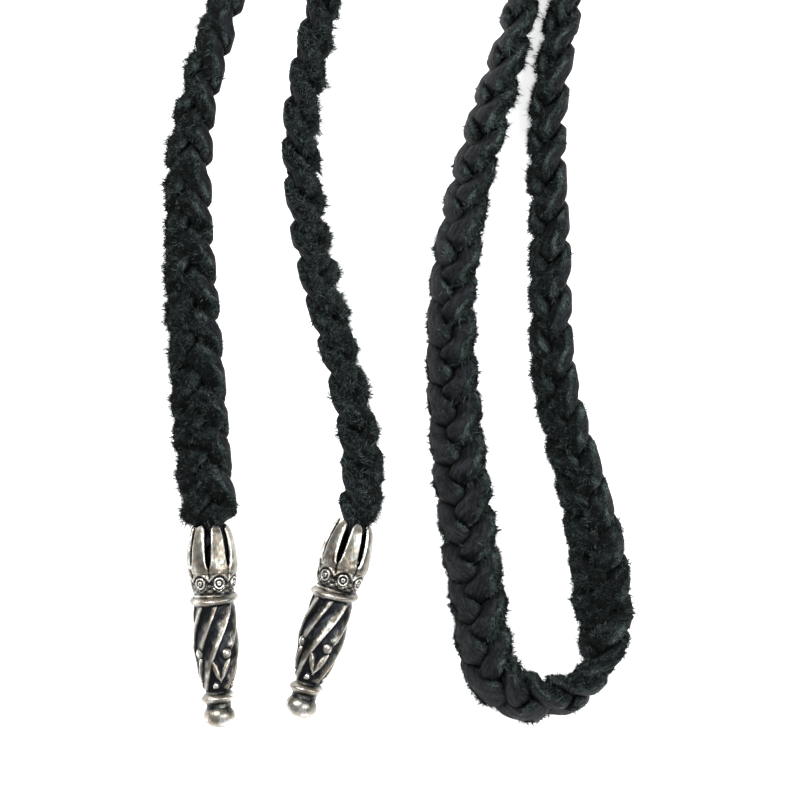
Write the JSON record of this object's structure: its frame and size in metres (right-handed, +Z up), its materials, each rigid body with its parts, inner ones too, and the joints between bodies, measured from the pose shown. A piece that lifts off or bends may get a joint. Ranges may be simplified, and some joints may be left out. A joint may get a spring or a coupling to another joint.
{
  "type": "leather cord necklace",
  "caption": "Flat plait of soft black leather laces, laid folded double in an arch, with a carved cast silver tip on each end.",
  "frame": {"origin": "middle of the laid out necklace's bounding box, on the surface it lies on", "axes": "+Z up from the surface; +Y from the silver tips towards the arch that goes behind the neck; +X to the right as seen from above"},
  "size_m": [0.1057, 0.2637, 0.0105],
  "materials": {
    "leather": "soft dyed lace, smooth grain on one face and hairy suede on the other",
    "silver": "cast silver, blackened in the recesses and worn bright on the ridges"
  },
  "bodies": {
    "root": {"strand_1": "leather", "strand_2": "leather", "strand_3": "leather", "right_tip": "silver", "left_tip": "silver"}
  },
  "joints": []
}
